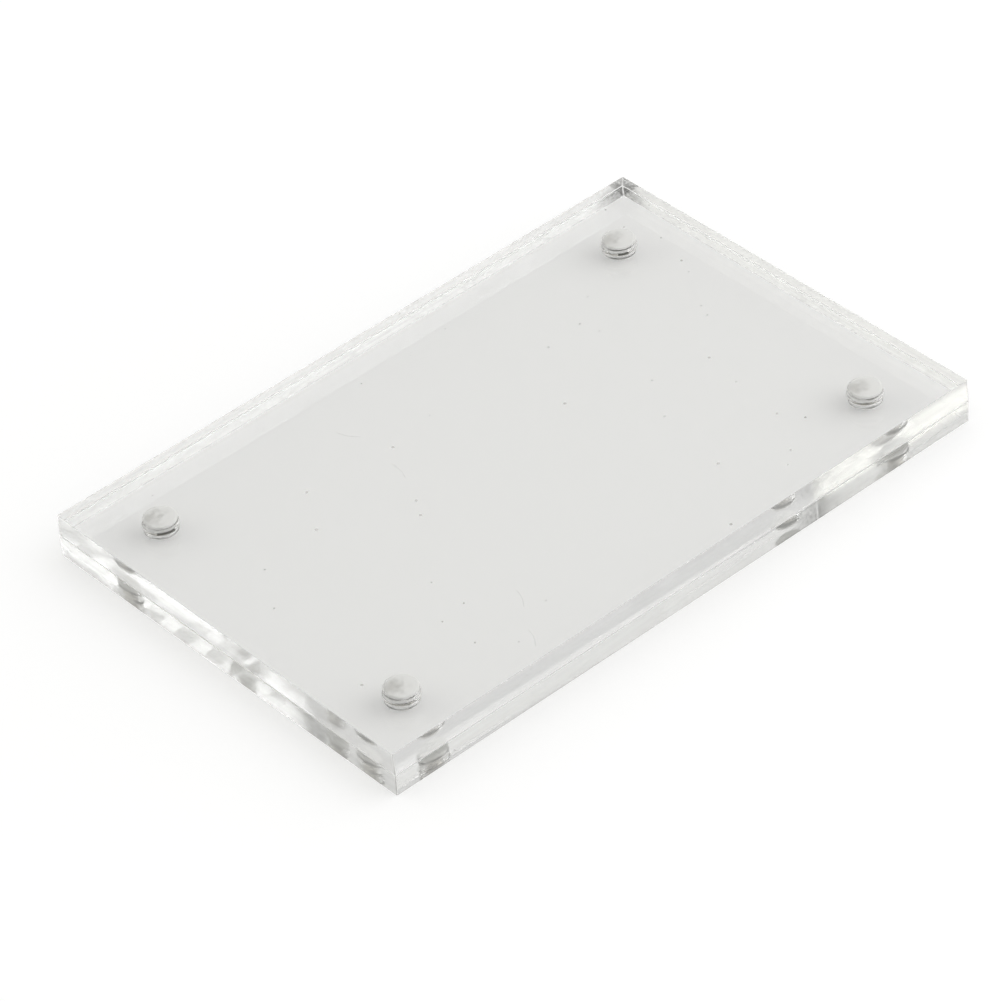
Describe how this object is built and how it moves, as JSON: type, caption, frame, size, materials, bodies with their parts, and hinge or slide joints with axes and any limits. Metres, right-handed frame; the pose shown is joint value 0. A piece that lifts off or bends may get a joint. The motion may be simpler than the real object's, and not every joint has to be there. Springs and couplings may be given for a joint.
{
  "type": "magnetic acrylic photo frame",
  "caption": "Clear block frame of matching acrylic panels that clamp a small picture between them, held shut by disc magnets set in blind holes near the corners.",
  "frame": {"origin": "centre of the back panel's outer face, which the frame rests on when it lies flat", "axes": "+X along the long side, +Y along the short side, +Z out of the front face"},
  "size_m": [0.09, 0.06, 0.0061],
  "materials": {
    "acrylic": "clear cast acrylic with polished edges",
    "nickel": "bright nickel plating on a sintered neodymium magnet",
    "glue": "clear set adhesive"
  },
  "bodies": {
    "back_half": {"back_panel": "acrylic", "back_magnet_top_left": "nickel", "back_glue_top_left": "glue", "back_magnet_top_right": "nickel", "back_glue_top_right": "glue", "back_magnet_bottom_left": "nickel", "back_glue_bottom_left": "glue", "back_magnet_bottom_right": "nickel", "back_glue_bottom_right": "glue"},
    "front_half": {"front_panel": "acrylic", "front_magnet_top_left": "nickel", "front_glue_top_left": "glue", "front_magnet_top_right": "nickel", "front_glue_top_right": "glue", "front_magnet_bottom_left": "nickel", "front_glue_bottom_left": "glue", "front_magnet_bottom_right": "nickel", "front_glue_bottom_right": "glue"}
  },
  "joints": [
    {"name": "front_lift", "type": "slide", "parent": "back_half", "child": "front_half", "axis": [0, 0, 1], "range_m": [0, 0.04]}
  ]
}
